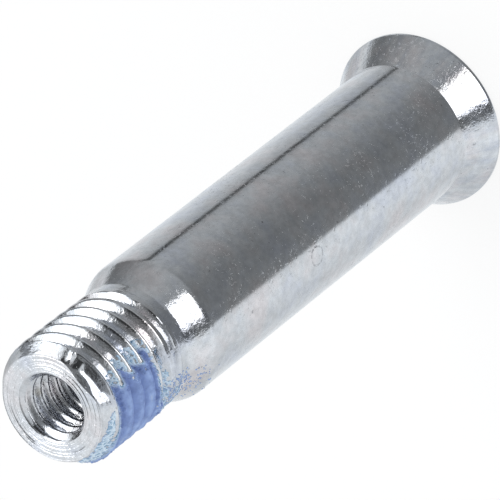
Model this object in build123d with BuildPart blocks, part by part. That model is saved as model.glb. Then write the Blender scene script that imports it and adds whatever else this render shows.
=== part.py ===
from build123d import *
from math import cos, radians, sin, tan
import os

# A wheel axle formed and turned from one piece of zinc-plated steel. It stands on its head, with the
# head's flat face at z = 0 and the threaded end up. All lengths are in millimetres.

# Head: a shallow cone that seats in a countersink, and a thin cylindrical rim
head_diameter = 10.0
head_rim = 0.25
head_cone_length = 1.8
head_edge_radius = 0.12

# Six-sided driving socket in the head's face
socket_across_flats = 4.0
socket_depth = 3.0
socket_lead_in = 0.3
socket_floor_angle = 118.0

# Smooth shaft that the bearings run on
shaft_diameter = 8.0
shaft_length = 24.75

# Shoulder cone from the shaft down to the plain neck below the thread
neck_diameter = 6.8
neck_length = 0.6
shoulder_length = 1.6
shoulder_radius = 1.2

# External thread, right-handed, of the sixty degree metric form
thread_diameter = 7.0
thread_pitch = 1.0
thread_length = 6.8
thread_angle = 60.0
thread_depth = 0.6134 * thread_pitch
thread_crest_flat = thread_pitch / 8
thread_run_out = 0.55
thread_exit_angle = 337.0

# Threaded end: a flat ring that rolls over into the thread's crest
end_ring_diameter = 5.9
end_bevel_length = 0.5

# Tapped hole in the threaded end, at the size that its crests leave
hole_diameter = 3.3
hole_depth = 10.0
hole_mouth_diameter = 3.9
hole_floor_angle = 118.0

# Thread-locking compound, an oval patch sprayed on one side of the thread
patch_build = 0.06
patch_width = 7.5
patch_end_gap = 0.1
patch_neck_gap = 0.4
patch_arc = 166.0

# Heights along the axis, from the head's face up
shaft_start = head_rim + head_cone_length
shoulder_start = shaft_start + shaft_length
neck_start = shoulder_start + shoulder_length
thread_start = neck_start + neck_length
axle_end = thread_start + thread_length

# Radii
head_radius = head_diameter / 2
shaft_radius = shaft_diameter / 2
neck_radius = neck_diameter / 2
crest_radius = thread_diameter / 2
root_radius = crest_radius - thread_depth
ring_radius = end_ring_diameter / 2
hole_radius = hole_diameter / 2
mouth_radius = hole_mouth_diameter / 2

os.makedirs("parts", exist_ok=True)


# Cutter for the groove between the thread's turns. It starts above the neck, past a plain run-out
# band, and leaves through the end face.
cutter_overshoot = 0.7 * thread_crest_flat
cutter_depth = thread_depth + cutter_overshoot
flank_slope = tan(radians(thread_angle / 2))
cutter_half_root = (thread_pitch - thread_crest_flat) / 2 - thread_depth * flank_slope
cutter_half_mouth = cutter_half_root + cutter_depth * flank_slope

with BuildPart() as thread_groove:
    with BuildLine() as groove_path:
        Helix(
            pitch=thread_pitch,
            height=thread_length - thread_run_out + thread_pitch,
            radius=root_radius,
            center=(0, 0, thread_start + thread_run_out),
        )
    groove_section = Plane(
        origin=groove_path.line @ 0, x_dir=(1, 0, 0), z_dir=groove_path.line % 0
    )
    with BuildSketch(groove_section):
        with BuildLine():
            Polyline(
                (0, -cutter_half_root),
                (0, cutter_half_root),
                (cutter_depth, cutter_half_mouth),
                (cutter_depth, -cutter_half_mouth),
                close=True,
            )
        make_face()
    sweep(is_frenet=True)


# The axle, one solid turned about Z
end_arc_radial = crest_radius - ring_radius
crest_lead_in = crest_radius - neck_radius

with BuildPart() as axle:
    with BuildSketch(Plane.XZ) as outline:
        with BuildLine():
            side = Polyline(
                (0, axle_end),
                (0, 0),
                (head_radius, 0),
                (head_radius, head_rim),
                (shaft_radius, shaft_start),
                (shaft_radius, shoulder_start),
                (neck_radius, neck_start),
                (neck_radius, thread_start),
                (crest_radius, thread_start + crest_lead_in),
                (crest_radius, axle_end - end_bevel_length),
            )
            roll_over = EllipticalCenterArc(
                center=(ring_radius, axle_end - end_bevel_length),
                x_radius=end_arc_radial,
                y_radius=end_bevel_length,
                start_angle=0,
                arc_size=90,
            )
            Line(roll_over @ 1, side @ 0)
        make_face()
        head_corner = outline.vertices().group_by(Axis.Y)[0].sort_by(Axis.X)[-1]
        fillet(head_corner, radius=head_edge_radius)
        shaft_corner = outline.vertices().sort_by_distance((shaft_radius, shoulder_start))[0]
        fillet(shaft_corner, radius=shoulder_radius)
    revolve(axis=Axis.Z)

    groove_turns = (thread_length - thread_run_out) / thread_pitch
    groove_start_angle = thread_exit_angle - 360 * groove_turns
    add(thread_groove.part.rotate(Axis.Z, groove_start_angle), mode=Mode.SUBTRACT)

    # Tapped hole, with its mouth bevelled and a drilled floor
    with BuildSketch(Plane.XZ):
        with BuildLine():
            Polyline(
                (0, axle_end),
                (mouth_radius, axle_end),
                (hole_radius, axle_end - (mouth_radius - hole_radius)),
                (hole_radius, axle_end - hole_depth),
                (0, axle_end - hole_depth - hole_radius / tan(radians(hole_floor_angle / 2))),
                close=True,
            )
        make_face()
    revolve(axis=Axis.Z, mode=Mode.SUBTRACT)

    # Driving socket: the six flats, the drilled floor under them and the bevelled mouth
    with BuildSketch(Plane.XY):
        RegularPolygon(radius=socket_across_flats / 2, side_count=6, major_radius=False)
    extrude(amount=socket_depth, mode=Mode.SUBTRACT)
    with BuildSketch(Plane.XZ):
        with BuildLine():
            socket_radius = socket_across_flats / 2
            floor_rise = socket_radius / tan(radians(socket_floor_angle / 2))
            Polyline(
                (0, 0),
                (socket_radius + socket_lead_in, 0),
                (socket_radius, socket_lead_in),
                (socket_radius, socket_depth),
                (0, socket_depth + floor_rise),
                close=True,
            )
        make_face()
    revolve(axis=Axis.Z, mode=Mode.SUBTRACT)

axle.part.label = "axle"
export_step(axle.part, "parts/axle.step")


# The patch fills the thread's grooves on the -X side and stands a little proud of the crests. It is
# an arc of a ring, cut to an oval outline as seen from that side. The ring starts inside the wall,
# and the axle is cut out of it.
patch_length = thread_length - patch_end_gap - patch_neck_gap
patch_middle = axle_end - patch_end_gap - patch_length / 2
patch_inner_radius = (root_radius + hole_radius) / 2
patch_outer_radius = crest_radius + patch_build
patch_start = radians(180 - patch_arc / 2)
patch_section = Plane(
    origin=(0, 0, patch_middle),
    x_dir=(cos(patch_start), sin(patch_start), 0),
    z_dir=(sin(patch_start), -cos(patch_start), 0),
)

with BuildPart() as locking_patch:
    with BuildSketch(patch_section):
        with Locations(((patch_inner_radius + patch_outer_radius) / 2, 0)):
            Rectangle(patch_outer_radius - patch_inner_radius, patch_length)
    revolve(axis=Axis.Z, revolution_arc=patch_arc)
    with BuildSketch(Plane.YZ):
        with Locations((0, patch_middle)):
            Ellipse(patch_width / 2, patch_length / 2)
    extrude(amount=-patch_width, mode=Mode.INTERSECT)
    add(axle.part, mode=Mode.SUBTRACT)

locking_patch.part.label = "locking_patch"
export_step(locking_patch.part, "parts/locking_patch.step")
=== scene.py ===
import math

import bmesh
import bpy
import numpy as np
from mathutils import Matrix, Vector, noise


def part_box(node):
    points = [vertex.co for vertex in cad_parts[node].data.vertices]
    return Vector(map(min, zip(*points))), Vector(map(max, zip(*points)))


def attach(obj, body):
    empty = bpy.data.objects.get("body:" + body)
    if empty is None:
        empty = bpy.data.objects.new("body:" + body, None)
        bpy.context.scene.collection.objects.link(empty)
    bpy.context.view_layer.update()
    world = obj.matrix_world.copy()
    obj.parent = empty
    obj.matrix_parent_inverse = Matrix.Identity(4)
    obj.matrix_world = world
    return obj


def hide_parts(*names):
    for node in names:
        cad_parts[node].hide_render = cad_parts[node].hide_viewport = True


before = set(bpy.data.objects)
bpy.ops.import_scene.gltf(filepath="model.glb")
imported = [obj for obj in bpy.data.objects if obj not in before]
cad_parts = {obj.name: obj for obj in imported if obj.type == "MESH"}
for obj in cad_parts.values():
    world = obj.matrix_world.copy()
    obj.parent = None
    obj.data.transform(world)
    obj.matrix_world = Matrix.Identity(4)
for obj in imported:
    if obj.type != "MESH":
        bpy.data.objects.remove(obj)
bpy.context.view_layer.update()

# Every size below is in millimetres, as on a drawing of the axle, and MM turns it into metres. The
# axle stands on its head at z = 0 with its thread up, and its patch faces -X. "below" is a distance
# down from the threaded end, and a "turn" is an angle from -Y towards -X.
MM = 0.001

# Head, shaft and shoulder
AXLE_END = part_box("axle")[1][2] / MM
HEAD_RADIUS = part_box("axle")[1][0] / MM
HEAD_RIM = 0.25
HEAD_EDGE_ROUND = 0.1
HEAD_RIM_ROUND = 0.05
HEAD_CREASE_ROUND = 0.1
SHAFT_RADIUS = 4.0
SHAFT_START = 2.05
SHOULDER_START = 26.8
SHOULDER_BLEND = 0.09
NECK_RADIUS = 3.4
NECK_START = 28.4
THREAD_START = 29.0

# Rolled outer thread. A "rise" is radius gained for each millimetre along the axis. The flanks lean
# over near the crest, and the crests are worn between two distances below the end. The cut fades in
# between the run-out heights, and the groove that leaves through the end fades out by turn.
CREST_RADIUS = 3.5
CREST_WEAR = 0.05
CREST_WEAR_BELOW = (3.5, 6.6)
PITCH = 1.0
THREAD_DEPTH = 0.6134
FLANK_RISE = 1.73
CREST_FLAT = 0.11
CREST_ROUND = 0.08
CREST_SLOPE_DEPTH = 0.2
CREST_SLOPE_RISE = 1.19
CREST_SLOPE_BLEND = 0.08
ROOT_ROUND = 0.1
GROOVE_START = 29.55
GROOVE_ANGLE = math.radians(247.0)
RUN_OUT_HEIGHTS = (29.05, 30.0)
GROOVE_END_TURNS = (60.0, 150.0)
NECK_BLEND = 0.03
BLANK_BLEND = 0.04
THREAD_BLEND = 0.01
SHOULDER_FOOT_BLEND = 0.02

# The end rolls over into the first crest. The ring round the hole dips in where the groove runs out
# through it, and FIRST_GROOVE is how far down that groove's middle is on the -Y side. Pairs of turns
# in degrees say between where a form comes in or goes.
RING_RADIUS = 2.98
ROLL_OVER = 0.5
LIP_DIP = 0.38
LIP_DIP_TURN = math.radians(-2.0)
LIP_DIP_REACH = (2.0, 32.0)
FIRST_GROOVE = 0.186
EDGE_WIDTH = 0.03
EDGE_RISE = 0.97
EDGE_TURNS = (-30.0, -22.0)
LEAD_IN_RADIUS = 2.82
LEAD_IN_STEP = 0.04
LEAD_IN_RISE = 0.51
LEAD_IN_EXTRA_RISE = 0.5
LEAD_IN_EXTRA_TURNS = (-14.0, -8.0)
LEAD_IN_CLEARANCE = 1.2
LIP_FLANK_RISE = 2.05
LIP_FLANK_ROUND = 0.06
LIP_FLANK_TURNS = (-60.0, -30.0)
LIP_FLANK_CLEARANCE = 2.0
LIP_FLANK_BLEND = 0.03
LIP_EDGE_BLEND = 0.04
EVEN_LIP_TURNS = (6.0, 38.0)
EVEN_LIP_SHORTEST = 0.3
LIP_WEAR = 0.14
LIP_WEAR_TURN = math.radians(-125.0)
LIP_WEAR_REACH = (18.0, 50.0)
LIP_WEAR_FULL = 0.25

# Tapped hole, whose thread fades out over TAP_FADE above its lower end
MOUTH_RADIUS = 1.95
MOUTH_TILT = math.radians(45.0)
MOUTH_ROUND = 0.2
MOUTH_BLEND = 0.04
HOLE_RADIUS = 1.65
HOLE_DEPTH = 10.0
TAPPED_DEPTH = 6.5
TAP_START = AXLE_END - 1.0
TAP_END = AXLE_END - TAPPED_DEPTH
TAP_FADE = 1.4
TAP_PITCH = 0.7
TAP_DEPTH = 0.36
TAP_CREST_FLAT = 0.14
TAP_CREST_ROUND = 0.06
TAP_ROOT_ROUND = 0.05
TAP_ANGLE = math.radians(125.0)
DRILL_ANGLE = math.radians(118.0)

# Driving socket
SOCKET_FLATS = 4.0
SOCKET_DEPTH = 3.0
SOCKET_LEAD_IN = 0.3
SOCKET_SEAM = 0.02

# Fineness of the axle's skin: points round it, rings along it, and knots for each turn of a thread.
# SEAM is the least step between rings that would otherwise meet.
COLUMNS = 204
SHAFT_RINGS = 8
SHOULDER_RINGS = 30
ROLL_OVER_RINGS = 42
FACE_RINGS = 76
OUTER_KNOTS = (0.0, 0.06, 0.12, 0.18, 0.22, 0.26, 0.31, 0.36, 0.40, 0.43, 0.46, 0.5,
               0.54, 0.57, 0.60, 0.64, 0.69, 0.74, 0.78, 0.82, 0.88, 0.94)
INNER_KNOTS = (0.0, 0.06, 0.13, 0.22, 0.31, 0.38, 0.42, 0.5, 0.58, 0.62, 0.69, 0.78, 0.87, 0.94)
SEAM = 0.002
MERGE_DISTANCE = 0.0002
SHORTEST_EDGE = 0.00005
SHARP_ANGLE = math.radians(38.0)

# Unevenness of the metal: its depth in the tapped hole and on the outer thread, each starting a
# little below the end, and the scale, seed and share of each of its two noises
HOLE_UNEVENNESS = 0.009
HOLE_UNEVEN_BELOW = 0.05
THREAD_UNEVENNESS = 0.006
THREAD_UNEVEN_BELOW = 0.03
UNEVEN_NOISES = ((5.0, 11, 1.0), (12.0, 12, 0.5))


def smooth_min(a, b, blend):
    """The smaller of a and b, rounded where they cross."""
    return np.minimum(a, b) - np.maximum(blend - np.abs(a - b), 0.0) ** 2 / (4.0 * blend)


def smooth_max(a, b, blend):
    """The larger of a and b, rounded where they cross."""
    return -smooth_min(-a, -b, blend)


def smooth_step(x, low, high):
    """0 below low and 1 above high, with an even curve between them."""
    t = np.clip((x - low) / (high - low), 0.0, 1.0)
    return t * t * (3.0 - 2.0 * t)


def turn_step(turn, low, high):
    """smooth_step with its limits in degrees."""
    return smooth_step(turn, math.radians(low), math.radians(high))


def field(points, scale, seed):
    """Smooth noise between about -1 and 1 at each point."""
    shift = Vector((seed * 17.3, seed * -9.1, seed * 5.7))
    return np.array([noise.noise(Vector(p) * scale + shift) for p in points])


def tapped_groove_depth(offset):
    """How deep the tapped thread is cut, offset along the axis from a groove's middle."""
    half_mouth = (TAP_PITCH - TAP_CREST_FLAT) / 2
    flank = (half_mouth - np.abs(offset)) * FLANK_RISE
    return smooth_max(smooth_min(flank, TAP_DEPTH, TAP_ROOT_ROUND), 0.0, TAP_CREST_ROUND)


def rolled_groove_depth(offset):
    """The same for the rolled outer thread, whose flanks lean over near the crest."""
    half_mouth = (PITCH - CREST_FLAT) / 2
    upper = (half_mouth - np.abs(offset)) * CREST_SLOPE_RISE
    lower = CREST_SLOPE_DEPTH + (upper - CREST_SLOPE_DEPTH) * FLANK_RISE / CREST_SLOPE_RISE
    flank = smooth_max(upper, lower, CREST_SLOPE_BLEND)
    return smooth_max(smooth_min(flank, THREAD_DEPTH, ROOT_ROUND), 0.0, CREST_ROUND)


def nearest_groove(z, angle, start, start_angle, pitch):
    """Offset from the nearest groove's middle, and the height of that middle."""
    first = start + (angle - start_angle) / (2 * math.pi) * pitch
    middle = first + np.round((z - first) / pitch) * pitch
    return z - middle, middle


def turn_of(angle):
    """Angle from -Y towards -X, between -180 and 180 degrees, of an angle about Z."""
    return np.mod(math.radians(270.0) - angle + math.pi, 2 * math.pi) - math.pi


def ring_radius(turn):
    """Outer radius of the flat ring round the tapped hole."""
    off = np.abs(turn - LIP_DIP_TURN)
    return RING_RADIUS - LIP_DIP * (1.0 - turn_step(off, *LIP_DIP_REACH))


def lip_radius(below, turn):
    """Radius of the rolled-over end: a steep edge, a lead-in, and the first crest's near flank."""
    ring = ring_radius(turn)
    in_groove = turn_step(turn, *EDGE_TURNS)
    edge = ring + (EDGE_RISE + (FLANK_RISE - EDGE_RISE) * in_groove) * below
    steeper = LEAD_IN_EXTRA_RISE * (1.0 - turn_step(turn, *LEAD_IN_EXTRA_TURNS))
    lead_in = np.maximum(LEAD_IN_RADIUS, ring + LEAD_IN_STEP) + (LEAD_IN_RISE + steeper) * below
    lead_in = lead_in + LEAD_IN_CLEARANCE * (1.0 - in_groove) ** 2
    crest = FIRST_GROOVE + turn / (2 * math.pi) * PITCH + (PITCH - CREST_FLAT) / 2
    flank = CREST_RADIUS - smooth_max((crest - below) * LIP_FLANK_RISE, 0.0, LIP_FLANK_ROUND)
    flank = flank - LIP_FLANK_CLEARANCE * (1.0 - turn_step(turn, *LIP_FLANK_TURNS))
    grooved = smooth_max(smooth_min(edge, lead_in, LIP_EDGE_BLEND), flank, LIP_FLANK_BLEND)

    # Past the groove the lead-in rises evenly, all the way to the first crest
    foot = ring + FLANK_RISE * EDGE_WIDTH
    rise = (CREST_RADIUS - foot) / np.maximum(crest - EDGE_WIDTH, EVEN_LIP_SHORTEST)
    even = smooth_min(edge, foot + rise * (below - EDGE_WIDTH), LIP_EDGE_BLEND)
    lip = grooved + (even - grooved) * turn_step(turn, *EVEN_LIP_TURNS)

    # Worn lower in one place, and never outside the rolled dome
    worn = LIP_WEAR * (1.0 - turn_step(np.abs(turn - LIP_WEAR_TURN), *LIP_WEAR_REACH))
    lip = lip - worn * smooth_step(below, 0.0, LIP_WEAR_FULL)
    reach = np.clip(1.0 - below / ROLL_OVER, 0.0, 1.0)
    dome = ring + (CREST_RADIUS - ring) * np.sqrt(1.0 - reach * reach)
    return np.where(below < ROLL_OVER, np.minimum(lip, dome), lip)


def steel_radius(z, angle):
    """Radius of the axle's outside at any height above the head, thread and lip included."""
    turn = turn_of(angle)
    below = AXLE_END - z
    crest = CREST_RADIUS - CREST_WEAR * smooth_step(below, *CREST_WEAR_BELOW)
    blank = smooth_max(NECK_RADIUS + (z - THREAD_START), NECK_RADIUS, NECK_BLEND)
    blank = smooth_min(blank, crest, BLANK_BLEND)

    offset, middle = nearest_groove(z, angle, GROOVE_START, GROOVE_ANGLE, PITCH)
    cut = rolled_groove_depth(offset)
    unfinished = THREAD_DEPTH * (1.0 - smooth_step(middle, *RUN_OUT_HEIGHTS))
    cut = np.maximum(cut - unfinished, 0.0)
    runs_out = AXLE_END - middle < FIRST_GROOVE + turn / (2 * math.pi) * PITCH + PITCH / 2
    cut = cut * np.where(runs_out, turn_step(turn, *GROOVE_END_TURNS), 1.0)
    thread = smooth_min(blank, crest - cut, THREAD_BLEND)

    slope = (SHAFT_RADIUS - NECK_RADIUS) / (NECK_START - SHOULDER_START)
    shoulder = smooth_min(SHAFT_RADIUS + (SHOULDER_START - z) * slope, SHAFT_RADIUS, SHOULDER_BLEND)
    outside = smooth_max(shoulder, thread, SHOULDER_FOOT_BLEND)
    return np.minimum(outside, lip_radius(below, turn))


def inner_thread_radius(z, angle):
    """Radius of the tapped hole's wall, with its bevelled mouth."""
    offset, middle = nearest_groove(z, angle, TAP_START, TAP_ANGLE, TAP_PITCH)
    fade = smooth_step(middle, TAP_END, TAP_END + TAP_FADE)
    bevel = MOUTH_RADIUS - (AXLE_END - z)
    return smooth_max(HOLE_RADIUS + tapped_groove_depth(offset) * fade, bevel, MOUTH_BLEND)


# Marks that the facing tool left on the end: fine rings, each kind given by spacing and depth, and
# deeper arcs given by radius, depth, and the turns in degrees that they run between
RING_MARKS = ((0.083, 0.0011), (0.127, 0.0022), (0.210, 0.0032))
RING_PHASE = 1.3
RING_WAVER = 0.35
DEEP_ARCS = (
    (2.52, 0.030, 80.0, 128.0), (2.56, 0.030, 150.0, 215.0), (2.36, 0.012, 165.0, 230.0),
    (2.75, 0.022, 94.0, 112.0), (2.66, 0.016, 150.0, 176.0), (2.20, 0.020, -60.0, 60.0),
    (2.42, 0.022, -95.0, 40.0), (2.72, 0.010, -120.0, -20.0),
)
ARC_WIDTH = 0.03
ARC_FULL_SHARE = 0.55
UNMARKED_EDGE = 0.04


def face_marks(radius, turn):
    """How deep the end face is marked at a place on it."""
    depth = np.zeros(np.broadcast(radius, turn).shape)
    for k, (spacing, height) in enumerate(RING_MARKS):
        phase = RING_PHASE * k + RING_WAVER * np.sin(turn * (k + 1) + k)
        depth = depth + height * (1.0 + np.sin(2 * math.pi * radius / spacing + phase))
    for at, height, start, end in DEEP_ARCS:
        middle, half = math.radians(start + end) / 2, math.radians(end - start) / 2
        off = np.abs(np.mod(turn - middle + math.pi, 2 * math.pi) - math.pi)
        ends = 1.0 - smooth_step(off, ARC_FULL_SHARE * half, half)
        depth = depth + height * ends * np.exp(-((radius - at) / ARC_WIDTH) ** 2)
    return depth


def hex_radius(angle):
    """Distance from the axis to the socket's wall."""
    sector = np.mod(angle, math.pi / 3) - math.pi / 6
    return SOCKET_FLATS / 2 / np.cos(sector)


def roughen(points):
    """Uneven metal: the tapped hole most, then the outer thread, and the rest not at all."""
    xyz = np.array(points)
    radius = np.hypot(xyz[:, 0], xyz[:, 1])
    below = AXLE_END - xyz[:, 2]
    in_hole = (radius < MOUTH_RADIUS + MOUTH_ROUND) & (below < TAPPED_DEPTH)
    in_hole = in_hole & (below > HOLE_UNEVEN_BELOW)
    threaded = (radius > RING_RADIUS - LIP_DIP) & (below < AXLE_END - THREAD_START)
    threaded = threaded & (below > THREAD_UNEVEN_BELOW)
    amount = np.where(in_hole, HOLE_UNEVENNESS, np.where(threaded, THREAD_UNEVENNESS, 0.0))
    push = amount * sum(share * field(xyz, scale, seed) for scale, seed, share in UNEVEN_NOISES)
    xyz[:, :2] *= 1.0 + (push / np.maximum(radius, 0.5))[:, None]
    return xyz


class PolarSkin:
    """A closed skin round the Z axis, built from rings of COLUMNS points that follow each other."""

    def __init__(self):
        self.points = []
        self.faces = []
        self.angles = 2 * math.pi * np.arange(COLUMNS) / COLUMNS
        self.last = None

    def tip(self, z):
        """A point on the axis, at either end of the skin."""
        self.points.append((0.0, 0.0, z))
        index = len(self.points) - 1
        if self.last is None:
            self.last = [index] * COLUMNS
            return
        for i in range(COLUMNS):
            self.faces.append((self.last[i], self.last[(i + 1) % COLUMNS], index))

    def ring(self, radius, z):
        """One ring. radius and z are numbers or one value for each column."""
        radius = np.broadcast_to(radius, COLUMNS)
        z = np.broadcast_to(z, COLUMNS)
        first = len(self.points)
        xyz = zip(radius * np.cos(self.angles), radius * np.sin(self.angles), z)
        self.points.extend(xyz)
        row = list(range(first, first + COLUMNS))
        if self.last is not None:
            for i in range(COLUMNS):
                k = (i + 1) % COLUMNS
                if self.last[i] == self.last[k]:
                    self.faces.append((self.last[i], row[k], row[i]))
                else:
                    self.faces.append((self.last[i], self.last[k], row[k], row[i]))
        self.last = row

    def helix(self, radius_of, low, high, start, start_angle, pitch, knots, rising=True):
        """Rings that climb with a thread from low to high, so that its crests lie along edges."""
        first = start + (self.angles - start_angle) / (2 * math.pi) * pitch
        turns_low = math.floor((low - first.max()) / pitch) - 1
        turns_high = math.ceil((high - first.min()) / pitch) + 1
        steps = np.concatenate([k + np.array(knots) for k in range(turns_low, turns_high)])
        per_turn = len(knots)
        base = len(self.points)
        heights = np.clip(first[None, :] + steps[:, None] * pitch, low, high)
        radii = radius_of(heights, self.angles[None, :])
        for row, radius in zip(heights, radii):
            self.points.extend(zip(radius * np.cos(self.angles), radius * np.sin(self.angles), row))
        count = len(steps)
        for j in range(count - 1):
            for i in range(COLUMNS):
                k = (i + 1) % COLUMNS
                shift = per_turn if k == 0 else 0
                if j + 1 + shift >= count:
                    continue
                quad = (
                    base + j * COLUMNS + i,
                    base + (j + shift) * COLUMNS + k,
                    base + (j + 1 + shift) * COLUMNS + k,
                    base + (j + 1) * COLUMNS + i,
                )
                level = {self.points[v][2] for v in quad}
                if len(level) > 1:
                    self.faces.append(quad if rising else quad[::-1])
        lowest = list(range(base, base + COLUMNS))
        highest = list(range(base + (count - 1) * COLUMNS, base + count * COLUMNS))
        near, far = (lowest, highest) if rising else (highest, lowest)
        for i in range(COLUMNS):
            k = (i + 1) % COLUMNS
            self.faces.append((self.last[i], self.last[k], near[k], near[i]))
        self.last = far

    def make(self, name, sharp_angle):
        """The skin as a mesh in metres, roughened, with edges above sharp_angle kept sharp."""
        mesh = bpy.data.meshes.new(name)
        mesh.from_pydata([tuple(p) for p in roughen(self.points) * MM], [], self.faces)
        body = bmesh.new()
        body.from_mesh(mesh)
        bmesh.ops.remove_doubles(body, verts=body.verts, dist=MERGE_DISTANCE * MM)
        bmesh.ops.dissolve_degenerate(body, edges=body.edges, dist=SHORTEST_EDGE * MM)
        bmesh.ops.recalc_face_normals(body, faces=body.faces)
        body.to_mesh(mesh)
        body.free()
        mesh.shade_smooth()
        mesh.set_sharp_from_angle(angle=sharp_angle)
        return mesh


def add_socket(skin):
    """Driving socket: drilled floor, six walls and the bevelled mouth."""
    wall = hex_radius(skin.angles)
    flat_radius = SOCKET_FLATS / 2
    floor_rise = flat_radius / math.tan(DRILL_ANGLE / 2)
    skin.tip(SOCKET_DEPTH + floor_rise)
    for share in (0.05, 0.3, 0.6, 0.85, 1.0):
        skin.ring(flat_radius * share * 0.999, SOCKET_DEPTH + floor_rise * (1 - share))
    skin.ring(wall - 0.04 * (wall - flat_radius), SOCKET_DEPTH)
    bevel_low = np.maximum(flat_radius + SOCKET_LEAD_IN - wall, 0.0) + 0.0005
    wall_top = SOCKET_DEPTH - SOCKET_SEAM
    for share in np.linspace(0.0, 1.0, 6):
        skin.ring(wall, wall_top - (wall_top - bevel_low) * share)
    mouth = np.maximum(flat_radius + SOCKET_LEAD_IN, wall + SEAM)
    skin.ring(mouth, 0.0)
    return mouth


def add_head(skin, mouth):
    """Head: flat face, rounded edge, rim and the cone up to the shaft."""
    edge = HEAD_EDGE_ROUND
    for share in (0.02, 0.2, 0.5, 0.8, 0.97, 1.0):
        skin.ring(mouth + (HEAD_RADIUS - edge - mouth) * share, 0.0)
    for tilt in np.radians((15, 30, 45, 60, 75, 90)):
        skin.ring(HEAD_RADIUS - edge + edge * np.sin(tilt), edge - edge * np.cos(tilt))
    cone_tilt = math.atan2(HEAD_RADIUS - SHAFT_RADIUS, SHAFT_START - HEAD_RIM)
    rim = HEAD_RIM_ROUND
    for tilt in np.linspace(0.0, cone_tilt, 5):
        drop = rim * (1 - math.cos(tilt))
        rise = rim * math.sin(tilt) - rim * math.tan(cone_tilt / 2)
        skin.ring(HEAD_RADIUS - drop, HEAD_RIM + rise)
    for share in (0.1, 0.3, 0.5, 0.7, 0.88):
        z = HEAD_RIM + (SHAFT_START - HEAD_RIM) * share
        skin.ring(HEAD_RADIUS - math.tan(cone_tilt) * (z - HEAD_RIM), z)
    crease = HEAD_CREASE_ROUND
    reach = crease * math.tan(cone_tilt / 2)
    for tilt in np.linspace(cone_tilt, 0.0, 5):
        out = crease * (1 - math.cos(tilt))
        skin.ring(SHAFT_RADIUS + out, SHAFT_START + reach - crease * math.sin(tilt))


def add_end(skin):
    """End ring with its turning marks, rounded lip of the hole, and the tapped hole itself."""
    turn = turn_of(skin.angles)
    inner_edge = MOUTH_RADIUS + MOUTH_ROUND * math.tan(MOUTH_TILT / 2)
    outer_edge = ring_radius(turn)
    for share in np.linspace(1.0, 0.0, FACE_RINGS):
        radius = inner_edge + (outer_edge - inner_edge) * share
        marked = smooth_step(share, 0.0, UNMARKED_EDGE)
        marked = marked * (1.0 - smooth_step(share, 1.0 - UNMARKED_EDGE, 1.0))
        skin.ring(radius, AXLE_END - face_marks(radius, turn) * marked)
    for roll in np.radians((9, 18, 27, 36, 45)):
        skin.ring(inner_edge - MOUTH_ROUND * math.sin(roll),
                  AXLE_END - MOUTH_ROUND * (1 - math.cos(roll)))
    bevel_top = AXLE_END - MOUTH_ROUND * (1 - math.cos(MOUTH_TILT))
    skin.helix(inner_thread_radius, TAP_END, bevel_top - SEAM,
               TAP_START, TAP_ANGLE, TAP_PITCH, INNER_KNOTS, rising=False)
    floor = AXLE_END - HOLE_DEPTH
    skin.ring(HOLE_RADIUS, floor)
    drill_tip = HOLE_RADIUS / math.tan(DRILL_ANGLE / 2)
    for share in (0.3, 0.65, 0.95):
        skin.ring(HOLE_RADIUS * (1 - share), floor - drill_tip * share)
    skin.tip(floor - drill_tip)


def axle_mesh():
    """The whole axle as one skin, from the socket's floor over the outside to the hole's floor."""
    skin = PolarSkin()
    add_head(skin, add_socket(skin))
    shoulder_low = SHOULDER_START - 0.6
    thread_low = THREAD_START - 0.05
    for z in np.linspace(SHAFT_START + 0.15, shoulder_low, SHAFT_RINGS):
        skin.ring(SHAFT_RADIUS, z)
    for z in np.linspace(shoulder_low, thread_low, SHOULDER_RINGS)[1:]:
        skin.ring(steel_radius(np.full(COLUMNS, z), skin.angles), z)
    roll_start = AXLE_END - ROLL_OVER
    skin.helix(steel_radius, thread_low, roll_start, GROOVE_START, GROOVE_ANGLE, PITCH, OUTER_KNOTS)
    for below in np.linspace(ROLL_OVER, 0.004, ROLL_OVER_RINGS)[1:]:
        z = AXLE_END - below
        skin.ring(steel_radius(np.full(COLUMNS, z), skin.angles), z)
    add_end(skin)
    return skin.make("axle_detailed", SHARP_ANGLE)


axle = bpy.data.objects.new("axle_detailed", axle_mesh())
bpy.context.scene.collection.objects.link(axle)
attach(axle, "root")
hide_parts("axle")
print("axle", len(axle.data.vertices), len(axle.data.polygons))


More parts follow.
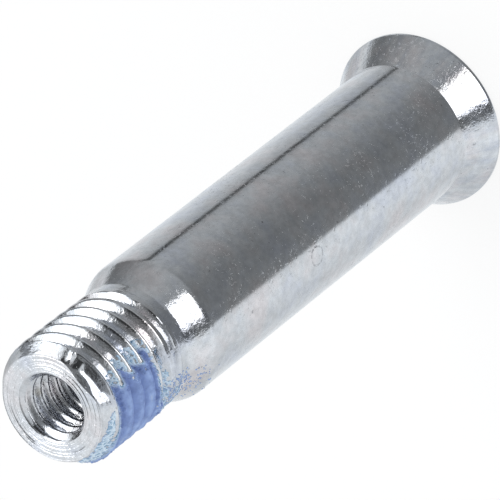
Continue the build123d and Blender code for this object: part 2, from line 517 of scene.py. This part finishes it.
class Graph:
    """Short ways to build a node tree."""

    def __init__(self, owner):
        owner.use_nodes = True
        self.tree = owner.node_tree
        self.tree.nodes.clear()
        kind = "World" if isinstance(owner, bpy.types.World) else "Material"
        self.output = self.tree.nodes.new("ShaderNodeOutput" + kind)

    def link(self, source, target):
        """Join an output to an input."""
        self.tree.links.new(source, target)

    def node(self, kind, settings=None, **inputs):
        """A node with its settings, and its inputs by name, each a number or another output."""
        node = self.tree.nodes.new(kind)
        for name, value in (settings or {}).items():
            setattr(node, name, value)
        for name, value in inputs.items():
            self.set(node.inputs[name.replace("_", " ")], value)
        return node

    def set(self, socket, value):
        """Link an output to the socket, or write a plain value on it."""
        if isinstance(value, bpy.types.NodeSocket):
            self.link(value, socket)
        else:
            socket.default_value = value

    def math(self, operation, a, b=0.0, c=0.0):
        """One sum on up to three numbers or outputs."""
        node = self.tree.nodes.new("ShaderNodeMath")
        node.operation = operation
        for socket, value in zip(node.inputs, (a, b, c)):
            self.set(socket, value)
        return node.outputs[0]

    def between(self, value, low, high, out_low=0.0, out_high=1.0, kind="SMOOTHSTEP"):
        """out_low where value is below low, out_high above high, and a passage between them."""
        node = self.tree.nodes.new("ShaderNodeMapRange")
        node.interpolation_type = kind
        for socket, number in zip(node.inputs, (value, low, high, out_low, out_high)):
            self.set(socket, number)
        return node.outputs[0]

    def ramp(self, value, stops):
        """Colour by value, from stops that each have a place and a colour."""
        node = self.tree.nodes.new("ShaderNodeValToRGB")
        marks = node.color_ramp.elements
        while len(marks) < len(stops):
            marks.new(0.5)
        for mark, (place, colour) in zip(marks, stops):
            mark.position = place
            mark.color = (*colour, 1.0)
        self.set(node.inputs[0], value)
        return node.outputs[0]

    def mix(self, share, a, b, kind="MIX"):
        """Colour a, with a share of colour b over it or multiplied into it."""
        node = self.tree.nodes.new("ShaderNodeMix")
        node.data_type = "RGBA"
        node.blend_type = kind
        for name, value in (("Factor", share), ("A", a), ("B", b)):
            socket = next(s for s in node.inputs if s.name == name and s.type == (
                "VALUE" if name == "Factor" else "RGBA"))
            self.set(socket, value)
        return next(s for s in node.outputs if s.type == "RGBA")

    def cloud(self, vector, scale, detail=2.0, rough=0.5):
        """Soft noise between 0 and 1, mostly near 0.5, with scale in steps for each metre."""
        return self.node("ShaderNodeTexNoise", Vector=vector, Scale=scale, Detail=detail,
                         Roughness=rough).outputs[0]

    def distance(self, vector, centre):
        """How far a place is from a centre."""
        node = self.node("ShaderNodeVectorMath", {"operation": "DISTANCE"})
        self.link(vector, node.inputs[0])
        node.inputs[1].default_value = centre
        return node.outputs["Value"]


# Dried locking compound on the -X side, with a lacy film and foam round it and small spatter on the
# shoulder. Borders are given by turn in degrees, and by distance below the axle's end.
PATCH_BORDER = (
    (30, 0.95), (20, 1.4), (10, 1.9), (12, 2.5), (15, 3.2), (12, 4.0), (9, 4.45), (21, 4.72),
    (35, 4.85), (47, 4.85), (62, 5.15), (75, 5.7), (86, 6.25), (97, 6.5), (112, 6.3), (126, 5.8),
    (140, 5.2), (152, 4.4), (158, 3.4), (154, 2.4), (143, 1.5), (128, 0.9), (112, 0.55),
    (97, 0.46), (84, 0.5), (73, 0.52), (62, 0.56), (54, 0.62), (47, 0.75), (38, 0.9),
)
FILM_BORDER = (
    (24, 0.65), (10, 1.1), (-2, 1.9), (-5, 3.0), (-4, 4.2), (0, 4.75), (12, 5.0), (28, 5.1),
    (40, 5.5), (52, 6.2), (64, 6.9), (78, 7.3), (95, 7.2), (120, 6.7), (150, 5.6), (166, 4.0),
    (167, 2.6), (156, 1.4), (136, 0.8), (114, 0.35), (98, 0.1), (84, 0.0), (74, 0.0), (62, 0.06),
    (53, 0.16), (45, 0.36), (36, 0.6),
)

# Grid that the compound is cut from, in degrees of turn and in distances below the end
PATCH_TURNS = (-12.0, 169.0)
PATCH_TURN_STEP = 0.55
PATCH_BELOW = (0.012, 10.4)
PATCH_STEP = 0.034

# Noises that the compound's borders and surface waver with, coarse to fine, by scale and seed
PATCH_NOISES = ((1.9, 1), (6.0, 2), (14.0, 3))
BODY_WAVER = (0.16, 0.12, 0.07)
FILM_WAVER = (0.25, 0.15)
SURFACE_WAVER = (0.045, 0.014)

# The body reaches further where the groove is deeper than GROOVE_PULL_FROM, and rises to its full
# height over BODY_EDGE in from its border
GROOVE_PULL = 0.8
GROOVE_PULL_FROM = 0.22
BODY_EDGE = 0.4

# Heights over the steel. The body fills a share of each groove under a skin that sags past the
# crest, its back is buried in the steel, and BARE marks places without compound.
PATCH_FILL = 0.52
PATCH_SKIN = 0.05
PATCH_BULGE = 0.13
BULGE_PAST_CREST = 0.2
BULGE_WIDTH = 0.14
PATCH_BURIED = 0.09
BARE = -0.03
LEAST_OVER_BARE = 0.005
FULL_THICKNESS = 0.4
DEPTH_OFF_THREAD = 0.14

# Film and foam. A bubble is open, down to bare steel, where its wall and its chance are both small.
# The foam on the rolled-over end has no open bubbles.
BUBBLES_PER_MM = 3.5
BUBBLE_WALL = (0.04, 0.30)
FOAM_OVERLAP = 0.3
FILM_HEIGHT = 0.012
END_FILM_HEIGHT = 0.022
WALL_HEIGHT = 0.055
OPEN_WALL = 0.45
OPEN_CHANCE = 0.55
END_FOAM_BELOW = 0.62
END_FOAM_TURN = math.radians(38.0)

# Craters where bubbles burst. CRATER_ZONE is how far in from the body's border they may be, and
# "across" is a distance round the thread's crest.
CRATER_TRIES = 700
CRATER_ACROSS = (0.0, 10.2)
CRATER_BELOW = (0.0, 6.9)
CRATER_SIZES = (0.05, 0.14)
CRATER_ZONE = (-0.1, 0.75)
CRATER_DEPTH = 0.10
CRATER_RIDGE = 0.03

# Spatter on the shoulder: middle and spread across, then its top and its spread down from there
SPATTER_TRIES = 560
SPATTER_ACROSS = (4.15, 0.75)
SPATTER_TOP = 5.0
SPATTER_SPREAD = 1.6
SPATTER_LOWEST = 9.9
SPATTER_FARTHEST = 7.0
SPATTER_SIZES = (0.03, 0.062)
SPATTER_ROUNDNESS = 0.45
SPATTER_FOOT = 0.006


def border_distance(across, along, border):
    """Distance in from a closed border, negative outside it."""
    corners = [(math.radians(turn) * CREST_RADIUS, below) for turn, below in border]
    nearest = np.full(across.shape, 1e9)
    inside = np.zeros(across.shape, bool)
    for (ax, ay), (bx, by) in zip(corners, corners[1:] + corners[:1]):
        dx, dy = bx - ax, by - ay
        t = np.clip(((across - ax) * dx + (along - ay) * dy) / (dx * dx + dy * dy), 0.0, 1.0)
        nearest = np.minimum(nearest, np.hypot(across - ax - t * dx, along - ay - t * dy))
        crosses = (ay > along) != (by > along)
        at = ax + (along - ay) / (by - ay if by != ay else 1e-9) * dx
        inside ^= crosses & (across < at)
    return np.where(inside, nearest, -nearest)


def foam_walls(points, wanted):
    """1 on the walls between foam bubbles and 0 inside them, and a steady chance for each bubble."""
    walls = np.zeros(len(points))
    chance = np.zeros(len(points))
    for k in np.flatnonzero(wanted):
        distances, centres = noise.voronoi(Vector(points[k]) * BUBBLES_PER_MM)
        walls[k] = distances[1] - distances[0]
        chance[k] = noise.cell(centres[0] * 7.0)
    return 1.0 - smooth_step(walls, *BUBBLE_WALL), chance


def burst_bubbles(lift, cover, across, along, chooser):
    """Craters with a low ridge round them, in the body and close outside it."""
    for _ in range(CRATER_TRIES):
        at, down = chooser.uniform(*CRATER_ACROSS), chooser.uniform(*CRATER_BELOW)
        size = chooser.uniform(*CRATER_SIZES)
        rim = border_distance(np.array([at]), np.array([down]), PATCH_BORDER)[0]
        if not CRATER_ZONE[0] < rim < CRATER_ZONE[1]:
            continue
        away = np.hypot(across - at, along - down) / size
        hollow = np.clip(1.0 - away * away, 0.0, 1.0)
        ridge = np.exp(-((away - 1.1) / 0.3) ** 2)
        lift = lift - CRATER_DEPTH * hollow + CRATER_RIDGE * ridge * (cover > 0.02)
    return lift


def add_spatter(lift, froth, across, along, chooser):
    """Small round drops below the thread, in a band that leans away from -Y further down."""
    for _ in range(SPATTER_TRIES):
        at = chooser.normal(*SPATTER_ACROSS)
        down = SPATTER_TOP + abs(chooser.normal(0.0, SPATTER_SPREAD))
        size = chooser.uniform(*SPATTER_SIZES)
        nearest = 2.2 + 0.12 * down
        if down > SPATTER_LOWEST or at < nearest or at > SPATTER_FARTHEST:
            continue
        away = np.hypot(across - at, along - down) / size
        drop = SPATTER_ROUNDNESS * size * np.sqrt(np.clip(1.0 - away * away, 0.0, 1.0))
        drop = np.where(away < 1.0, drop + SPATTER_FOOT, BARE)
        froth = np.where(drop > lift, 0.0, froth)
        lift = np.maximum(lift, drop)
    return lift, froth


def patch_relief():
    """Grid over the compound's side of the thread: where it is, how high it stands and its look."""
    turns = np.radians(np.arange(*PATCH_TURNS, PATCH_TURN_STEP))
    heights = AXLE_END - np.arange(*PATCH_BELOW, PATCH_STEP)
    turn, z = np.meshgrid(turns, heights, indexing="ij")
    angle = math.radians(270.0) - turn
    steel = steel_radius(z, angle)
    across, along = turn * CREST_RADIUS, AXLE_END - z
    points = np.stack([steel * np.cos(angle), steel * np.sin(angle), z], -1).reshape(-1, 3)
    noises = [field(points, scale, seed).reshape(turn.shape) for scale, seed in PATCH_NOISES]
    coarse, fine, _ = noises

    on_thread = along < AXLE_END - THREAD_START - 0.15
    groove = np.clip(CREST_RADIUS - steel, 0.0, THREAD_DEPTH)
    depth = np.where(on_thread, groove, DEPTH_OFF_THREAD)
    uneven = sum(amount * waver for amount, waver in zip(BODY_WAVER, noises))
    body = border_distance(across, along, PATCH_BORDER) + uneven
    body = body + GROOVE_PULL * (depth - GROOVE_PULL_FROM)
    cover = smooth_step(body, 0.0, BODY_EDGE)

    # Each turn's compound sags past its crest, away from the end
    past_crest, _ = nearest_groove(z + PITCH / 2, angle, GROOVE_START, GROOVE_ANGLE, PITCH)
    sag = PATCH_BULGE * np.exp(-((past_crest + BULGE_PAST_CREST) / BULGE_WIDTH) ** 2)
    filled = PATCH_FILL * depth + PATCH_SKIN + sag
    lift = cover * (filled + SURFACE_WAVER[0] * coarse + SURFACE_WAVER[1] * fine)

    # Film and foam between the body and the bare steel
    film = border_distance(across, along, FILM_BORDER)
    film = film + FILM_WAVER[0] * coarse + FILM_WAVER[1] * fine
    foamy = (film > 0.0) & (body < FOAM_OVERLAP)
    walls, chance = foam_walls(points, foamy.ravel())
    walls, chance = walls.reshape(turn.shape), chance.reshape(turn.shape)
    in_groove = smooth_step(depth, 0.04, 0.2)
    dense = smooth_step(film, 0.0, 0.3) * smooth_step(coarse + 0.6 * fine + 0.9 * film, -0.3, 0.3)
    on_end = (along < END_FOAM_BELOW) & (turn > END_FOAM_TURN)
    lace = FILM_HEIGHT + WALL_HEIGHT * walls + FILM_HEIGHT * (chance > 0.3)
    lace = lace * dense * in_groove
    lace = np.where((walls < OPEN_WALL) & (chance < OPEN_CHANCE), BARE, lace)
    lace = np.where(on_end & (film > 0.0), END_FILM_HEIGHT + WALL_HEIGHT * walls, lace)
    lace = np.where(foamy & ((dense * in_groove > 0.1) | on_end), lace, BARE)
    lift = np.where(body > 0.0, np.maximum(lift, lace * (cover < 0.5)), lace)
    froth = np.where(foamy, 1.0 - smooth_step(body, 0.0, FOAM_OVERLAP), 0.0)

    chooser = np.random.default_rng(7)
    lift = burst_bubbles(lift, cover, across, along, chooser)
    lift, froth = add_spatter(lift, froth, across, along, chooser)
    return angle, z, steel, np.maximum(lift, BARE), froth


def patch_mesh():
    """The compound as closed shells: its relief on top, and a back that is buried in the steel."""
    angle, z, steel, lift, froth = patch_relief()
    keep = lift > BARE + LEAST_OVER_BARE
    cell = keep[:-1, :-1] & keep[1:, :-1] | keep[:-1, 1:] & keep[1:, 1:]
    number = -np.ones(keep.shape, int)
    used = np.zeros(keep.shape, bool)
    for di in (0, 1):
        for dj in (0, 1):
            used[di:di + cell.shape[0], dj:dj + cell.shape[1]] |= cell
    count = int(used.sum())
    number[used] = np.arange(count)

    def place(radius):
        return np.stack([radius * np.cos(angle), radius * np.sin(angle), z], -1)[used]

    points = np.concatenate([place(steel + lift), place(steel - PATCH_BURIED)]) * MM
    faces = []
    rows, columns = cell.shape
    for i, j in zip(*np.nonzero(cell)):
        a, b = int(number[i, j]), int(number[i + 1, j])
        c, d = int(number[i + 1, j + 1]), int(number[i, j + 1])
        faces.append((a, b, c, d))
        faces.append((a + count, d + count, c + count, b + count))
        if i == 0 or not cell[i - 1, j]:
            faces.append((a, d, d + count, a + count))
        if i == rows - 1 or not cell[i + 1, j]:
            faces.append((c, b, b + count, c + count))
        if j == 0 or not cell[i, j - 1]:
            faces.append((b, a, a + count, b + count))
        if j == columns - 1 or not cell[i, j + 1]:
            faces.append((d, c, c + count, d + count))
    mesh = bpy.data.meshes.new("locking_patch_detailed")
    mesh.from_pydata([tuple(p) for p in points], [], faces)
    body = bmesh.new()
    body.from_mesh(mesh)
    bmesh.ops.recalc_face_normals(body, faces=body.faces)
    body.to_mesh(mesh)
    body.free()
    thickness = np.clip(lift / FULL_THICKNESS, 0.0, 1.0)
    for name, values in (("thickness", thickness), ("froth", froth)):
        layer = mesh.attributes.new(name, "FLOAT", "POINT")
        both = np.concatenate([values[used], np.zeros(count)])
        layer.data.foreach_set("value", both.astype(np.float32))
    mesh.shade_smooth()
    return mesh


# Marks on the steel: a worn ring and a dark pit on the shaft, and a darker, warmer spot on the
# tapped hole's wall
WORN_RING = (-2.294 * MM, -3.277 * MM, 16.9 * MM)
WORN_RING_RADIUS = 0.52 * MM
DARK_PIT = (0.832 * MM, -3.913 * MM, 19.3 * MM)
HOLE_DARK_SPOT = (1.083 * MM, 1.438 * MM, 34.3 * MM)


def steel_material():
    """Bright zinc plate: fine grain, pits, pale specks and smudges, coarser off the shaft."""
    material = bpy.data.materials.new("zinc_plated_steel")
    graph = Graph(material)
    place = graph.node("ShaderNodeTexCoord").outputs["Object"]
    axes = graph.node("ShaderNodeSeparateXYZ", Vector=place)
    z = axes.outputs["Z"]
    on_head = graph.between(z, (SHAFT_START - 0.1) * MM, (SHAFT_START + 0.1) * MM, 1.0, 0.0)
    past_shaft = graph.between(z, (SHOULDER_START - 0.2) * MM, (SHOULDER_START + 0.2) * MM)
    off_shaft = graph.math("MAXIMUM", past_shaft, on_head)

    # Relief: long waves, then grain, a coarser grain off the shaft, pits and the worn ring, each
    # with its height in millimetres
    waves = graph.cloud(place, 700.0, 1.0)
    grain = graph.cloud(place, 5200.0, 3.0, 0.65)
    coarse = graph.cloud(place, 2400.0, 3.0, 0.7)
    pits = graph.between(graph.cloud(place, 3300.0, 1.0), 0.28, 0.34)
    band = graph.math("ABSOLUTE", graph.math(
        "SUBTRACT", graph.distance(place, WORN_RING), WORN_RING_RADIUS))
    worn = graph.math("MULTIPLY", graph.between(band, 0.02 * MM, 0.09 * MM, 1.0, 0.0),
                      graph.between(graph.cloud(place, 5000.0), 0.40, 0.55))
    height = graph.math("MULTIPLY", waves, 0.005)
    for relief, amount in (
        (grain, graph.math("MULTIPLY_ADD", off_shaft, 0.0075, 0.0018)),
        (coarse, graph.math("MULTIPLY", off_shaft, 0.014)),
        (pits, 0.003),
        (worn, -0.004),
    ):
        height = graph.math("MULTIPLY_ADD", relief, amount, height)
    bump = graph.node("ShaderNodeBump", Height=height, Distance=MM, Strength=1.0)

    # Colour: cool and warm smudges, mottling, and streaks that run down the head's cone
    tint = graph.ramp(graph.cloud(place, 420.0, 4.0, 0.6), (
        (0.32, (0.75, 0.78, 0.86)), (0.5, (0.81, 0.825, 0.85)), (0.68, (0.86, 0.82, 0.83))))
    mottle = graph.ramp(graph.cloud(place, 2100.0, 6.0, 0.75), (
        (0.39, (0.86, 0.86, 0.86)), (0.61, (1.04, 1.04, 1.04))))
    colour = graph.mix(1.0, tint, mottle, "MULTIPLY")
    angle = graph.math("ARCTAN2", axes.outputs["Y"], axes.outputs["X"])
    fan = graph.node("ShaderNodeCombineXYZ", X=graph.math("MULTIPLY", angle, 9.0),
                     Y=graph.math("MULTIPLY", z, 260.0)).outputs[0]
    streaks = graph.ramp(graph.cloud(fan, 1.0, 4.0, 0.65), (
        (0.36, (0.89, 0.91, 0.95)), (0.52, (1.0, 1.0, 1.0)), (0.64, (1.06, 1.06, 1.05))))
    colour = graph.mix(on_head, colour, graph.mix(1.0, colour, streaks, "MULTIPLY"))

    # Dark places: one pit, small ones all over, and the worn ring. Then a darker, warmer spot on the
    # hole's wall.
    dark = graph.between(graph.distance(place, DARK_PIT), 0.03 * MM, 0.07 * MM, 1.0, 0.0)
    dark = graph.math("MAXIMUM", dark, graph.between(
        graph.cloud(place, 2600.0, 2.0), 0.22, 0.27, 0.6, 0.0))
    dark = graph.math("MAXIMUM", dark, graph.math("MULTIPLY", worn, 0.55))
    colour = graph.mix(dark, colour, (0.30, 0.30, 0.32, 1.0))
    hole_spot = graph.between(graph.distance(place, HOLE_DARK_SPOT), 0.12 * MM, 0.42 * MM, 0.75, 0.0)
    colour = graph.mix(hole_spot, colour, (0.50, 0.47, 0.42, 1.0))

    # Roughness, with small scratched specks that are thicker in some places than in others
    crowd = graph.between(graph.cloud(place, 330.0, 2.0), 0.42, 0.60, 0.0, 0.09)
    fleck = graph.math("ADD", graph.cloud(place, 6200.0, 2.0, 0.6), crowd)
    specks = graph.between(fleck, 0.66, 0.74)
    rough = graph.between(graph.cloud(place, 1100.0, 4.0, 0.6), 0.3, 0.7, 0.09, 0.17, "LINEAR")
    rough = graph.math("MAXIMUM", rough, graph.math("MULTIPLY", specks, 0.42))
    shader = graph.node("ShaderNodeBsdfPrincipled", Roughness=rough, Metallic=1.0,
                        Normal=bump.outputs[0])
    graph.link(colour, shader.inputs["Base Color"])
    graph.link(shader.outputs[0], graph.output.inputs["Surface"])
    return material


def patch_material():
    """Dried blue compound, with painted shade where it fills the grooves. Its thin film lets the
    steel shine through, and its foam is pale.
    """
    material = bpy.data.materials.new("locking_compound")
    graph = Graph(material)
    place = graph.node("ShaderNodeTexCoord").outputs["Object"]
    thick = graph.node("ShaderNodeAttribute", {"attribute_name": "thickness"}).outputs["Fac"]
    froth = graph.node("ShaderNodeAttribute", {"attribute_name": "froth"}).outputs["Fac"]
    share = graph.math("ADD", thick, graph.between(
        graph.cloud(place, 2500.0, 3.0), 0.3, 0.7, -0.07, 0.07, "LINEAR"))
    # The compound's own blue, deeper where it lies thick, with painted shade: the ramp darkens it
    # where it fills the grooves and lightens it over the crests.
    compound_colour_and_groove_shade = graph.ramp(share, ((0.0, (0.345, 0.435, 0.62)), (0.12, (0.238, 0.34, 0.615)),
                               (0.35, (0.20, 0.29, 0.565)), (1.0, (0.12, 0.185, 0.42))))
    foam = graph.ramp(thick, ((0.0, (0.125, 0.245, 0.40)), (0.04, (0.235, 0.39, 0.57)),
                              (0.08, (0.46, 0.605, 0.75)), (0.2, (0.63, 0.745, 0.855))))
    blotches = graph.ramp(graph.cloud(place, 1500.0, 4.0, 0.65), (
        (0.34, (0.72, 0.74, 0.80)), (0.5, (1.0, 1.0, 1.0)), (0.68, (1.22, 1.20, 1.12))))
    compound_colour_and_groove_shade = graph.mix(1.0, compound_colour_and_groove_shade, blotches, "MULTIPLY")
    colour = graph.mix(froth, compound_colour_and_groove_shade, foam)
    film = graph.math("MULTIPLY", froth, graph.between(thick, 0.03, 0.12, 0.8, 0.1))
    bump = graph.node("ShaderNodeBump", Height=graph.cloud(place, 7000.0, 2.0),
                      Distance=0.004 * MM, Strength=1.0)
    rough = graph.between(froth, 0.0, 1.0, 0.46, 0.22, "LINEAR")
    shader = graph.node("ShaderNodeBsdfPrincipled", Roughness=rough, Metallic=film,
                        Normal=bump.outputs[0])
    graph.link(colour, shader.inputs["Base Color"])
    graph.link(shader.outputs[0], graph.output.inputs["Surface"])
    return material


axle.data.materials.append(steel_material())

patch = bpy.data.objects.new("locking_patch_detailed", patch_mesh())
bpy.context.scene.collection.objects.link(patch)
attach(patch, "root")
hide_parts("locking_patch")
patch.data.materials.append(patch_material())
print("patch", len(patch.data.vertices), len(patch.data.polygons))


# Camera: the photograph looks at the axle from its threaded end
CAMERA_ELEVATION = math.radians(47.26)
CAMERA_ROLL = math.radians(128.17)
CAMERA_DISTANCE = 355.48 * MM
CAMERA_AIM = Vector((0.09 * MM, 0.0, 17.11 * MM))
CAMERA_LENS = 491.7
CAMERA_SENSOR = 36.0
CAMERA_NEAREST = 10.0 * MM


def add_camera():
    """The camera on the -Y side, above the axle and rolled as the photograph is."""
    data = bpy.data.cameras.new("camera")
    data.lens = CAMERA_LENS
    data.sensor_width = CAMERA_SENSOR
    data.clip_start = CAMERA_NEAREST
    camera = bpy.data.objects.new("camera", data)
    back = Vector((0.0, -math.cos(CAMERA_ELEVATION), math.sin(CAMERA_ELEVATION)))
    level_right = Vector((1.0, 0.0, 0.0))
    level_up = back.cross(level_right)
    up = level_up * math.cos(CAMERA_ROLL) + level_right * math.sin(CAMERA_ROLL)
    right = up.cross(back)
    turn = Matrix((right, up, back)).transposed()
    camera.matrix_world = Matrix.Translation(CAMERA_AIM + back * CAMERA_DISTANCE) @ turn.to_4x4()
    bpy.context.scene.collection.objects.link(camera)
    bpy.context.scene.camera = camera


# Floor, in metres from its middle to its edge. The camera sees it partly by its own white.
FLOOR_HALF = 1.0
FLOOR_COLOUR = (0.96, 0.96, 0.96, 1.0)
FLOOR_GLOW = 0.8


def add_floor():
    """A plain white floor. Its shadow is soft, and the steel sees the studio below the horizon."""
    half = FLOOR_HALF
    mesh = bpy.data.meshes.new("floor")
    corners = [(-half, -half, 0), (half, -half, 0), (half, half, 0), (-half, half, 0)]
    mesh.from_pydata(corners, [], [(0, 1, 2, 3)])
    floor = bpy.data.objects.new("floor", mesh)
    material = bpy.data.materials.new("floor")
    graph = Graph(material)
    lit = graph.node("ShaderNodeBsdfDiffuse", Color=FLOOR_COLOUR)
    white = graph.node("ShaderNodeEmission", Color=(1.0, 1.0, 1.0, 1.0), Strength=1.0)
    seen = graph.node("ShaderNodeLightPath")
    share = graph.math("MULTIPLY", seen.outputs["Is Camera Ray"], FLOOR_GLOW)
    mix = graph.node("ShaderNodeMixShader", Fac=share)
    graph.link(lit.outputs[0], mix.inputs[1])
    graph.link(white.outputs[0], mix.inputs[2])
    graph.link(mix.outputs[0], graph.output.inputs["Surface"])
    mesh.materials.append(material)
    bpy.context.scene.collection.objects.link(floor)
    floor.visible_glossy = False


# Studio round the axle, by turn in degrees from the camera's side (-Y) towards -X: a white room
# with grey and dark cards in it. Each ring gives its tones by turn. The floor ring is what upright
# walls see, the low ring what the cones see, the high ring what the thread and the end face see,
# and the top ring what its flanks see. RING_BORDERS are the heights where they pass into each other.
FLOOR_RING = (
    (-180, 0.95), (-150, 0.80), (-125, 0.64), (-112, 0.50), (-98, 0.42), (-96.5, 0.05),
    (-91.5, 0.05), (-89.5, 0.37), (-78, 0.42), (-58, 0.37), (-30, 0.25), (0, 0.185), (28, 0.20),
    (51.2, 0.22), (52.4, 0.80), (70, 0.85), (92, 0.78), (115, 0.68), (140, 0.76), (180, 0.95),
)
LOW_RING = (
    (-180, 1.0), (-165, 0.60), (-150, 0.50), (-128, 0.70), (-123, 0.70), (-119, 0.18),
    (-105, 0.20), (-80, 0.33), (-54, 0.41), (-36, 0.39), (-14, 0.31), (30, 0.12), (44, 0.14),
    (48, 0.90), (70, 0.92), (92, 0.76), (118, 0.66), (145, 0.70), (165, 0.7), (180, 1.0),
)
HIGH_RING = (
    (-180, 0.92), (-127, 0.80), (-118, 1.05), (-108, 1.6), (-74, 1.6), (-63, 0.9), (-54, 0.2),
    (-46, 0.03), (-9, 0.03), (-1, 0.2), (6, 0.62), (50, 0.85), (90, 0.75), (115, 0.72),
    (140, 0.72), (162, 0.86), (180, 0.92),
)
TOP_RING = (
    (-180, 0.42), (-120, 0.6), (-90, 0.6), (-65, 0.36), (-48, 0.22), (0, 0.20), (48, 0.26),
    (65, 0.32), (90, 0.42), (140, 0.42), (180, 0.42),
)
RING_BORDERS = ((LOW_RING, -40.0, -30.0), (HIGH_RING, 13.0, 18.0), (TOP_RING, 50.0, 64.0))
COOL = (0.93, 0.97, 1.0)
WHITE = (1.0, 1.0, 1.0, 1.0)
WINDOW = (2.2, 2.2, 2.2, 1.0)
DARK_CARD = (0.04, 0.04, 0.04, 1.0)
SOFTBOX = (2.6, 2.6, 2.6, 1.0)

# Square cards, each by turns and then heights in degrees. A card comes in between the first two
# numbers and goes between the last two. The first is a dark card low on the +X side, for the
# rolled-over end, and the second a window in front, low down.
SQUARE_CARDS = (
    ((-156.0, -146.0, -126.0, -120.0), (-2.0, 4.0, 22.0, 28.0), DARK_CARD),
    ((-11.5, -8.5, 26.5, 30.0), (-16.0, -13.0, 20.0, 23.0), WINDOW),
)

# Round cards, each by its middle's turn and height and the radii that it goes between. The first is
# a softbox on the +X side, high up, and the second a small card behind, that the turning marks on
# the end face catch on two sides of the hole.
ROUND_CARDS = (
    (-99.0, 52.5, 17.0, 20.0, SOFTBOX),
    (-164.0, 57.0, 6.0, 9.0, SOFTBOX),
)

# Heights from which a dark card overhead begins. Only the end's steepest face sees it.
OVERHEAD_CARD = (75.0, 78.5)

# Matt surfaces see the same room more evenly
EVEN_LIGHT = (0.42, 0.42, 0.42)
ROOM_LIGHT = (0.85, 0.85, 0.85)


def studio_light():
    """The studio as a world that only gives light by direction, and is plain white to the camera."""
    world = bpy.data.worlds.new("studio")
    bpy.context.scene.world = world
    graph = Graph(world)
    way = graph.node("ShaderNodeTexCoord").outputs["Generated"]
    axes = graph.node("ShaderNodeSeparateXYZ", Vector=way)
    x, y, z = axes.outputs
    azimuth = graph.math("ARCTAN2", graph.math("MULTIPLY", x, -1.0), graph.math("MULTIPLY", y, -1.0))
    share_of_turn = graph.math("MULTIPLY_ADD", azimuth, 0.5 / math.pi, 0.5)

    def degrees_of(radians):
        return graph.math("MULTIPLY", radians, 180.0 / math.pi)

    turn = degrees_of(azimuth)
    height = degrees_of(graph.math("ARCSINE", z))

    def ring(marks):
        """The room's tones all round, at one height."""
        stops = [((a + 180.0) / 360.0, tuple(g * c for c in COOL)) for a, g in marks]
        return graph.ramp(share_of_turn, stops)

    def within(value, limits):
        """1 between the limits' middle two, and 0 outside the outer two."""
        comes = graph.between(value, limits[0], limits[1])
        goes = graph.between(value, limits[2], limits[3], 1.0, 0.0)
        return graph.math("MULTIPLY", comes, goes)

    tone = ring(FLOOR_RING)
    for marks, low, high in RING_BORDERS:
        tone = graph.mix(graph.between(height, low, high), tone, ring(marks))
    tone = graph.mix(graph.between(height, *OVERHEAD_CARD), tone, DARK_CARD)
    for turns, heights, colour in SQUARE_CARDS:
        inside = graph.math("MULTIPLY", within(turn, turns), within(height, heights))
        tone = graph.mix(inside, tone, colour)
    for card_turn, card_height, inner, outer, colour in ROUND_CARDS:
        round_by, up_by = math.radians(card_turn), math.radians(card_height)
        middle = (-math.sin(round_by) * math.cos(up_by), -math.cos(round_by) * math.cos(up_by),
                  math.sin(up_by))
        facing = graph.node("ShaderNodeVectorMath", {"operation": "DOT_PRODUCT"})
        graph.link(way, facing.inputs[0])
        facing.inputs[1].default_value = middle
        away = degrees_of(graph.math("ARCCOSINE", facing.outputs["Value"]))
        tone = graph.mix(graph.between(away, inner, outer, 1.0, 0.0), tone, colour)

    even = graph.node("ShaderNodeVectorMath", {"operation": "MULTIPLY_ADD"})
    graph.link(tone, even.inputs[0])
    even.inputs[1].default_value = ROOM_LIGHT
    even.inputs[2].default_value = EVEN_LIGHT
    seen = graph.node("ShaderNodeLightPath")
    shiny = graph.math("MAXIMUM", seen.outputs["Is Glossy Ray"],
                       seen.outputs["Is Transmission Ray"])
    tone = graph.mix(shiny, even.outputs[0], tone)
    tone = graph.mix(seen.outputs["Is Camera Ray"], tone, WHITE)
    light = graph.node("ShaderNodeBackground", Color=tone, Strength=1.0)
    graph.link(light.outputs[0], graph.output.inputs["Surface"])


add_camera()
add_floor()
studio_light()
bpy.context.scene.view_settings.view_transform = "Standard"
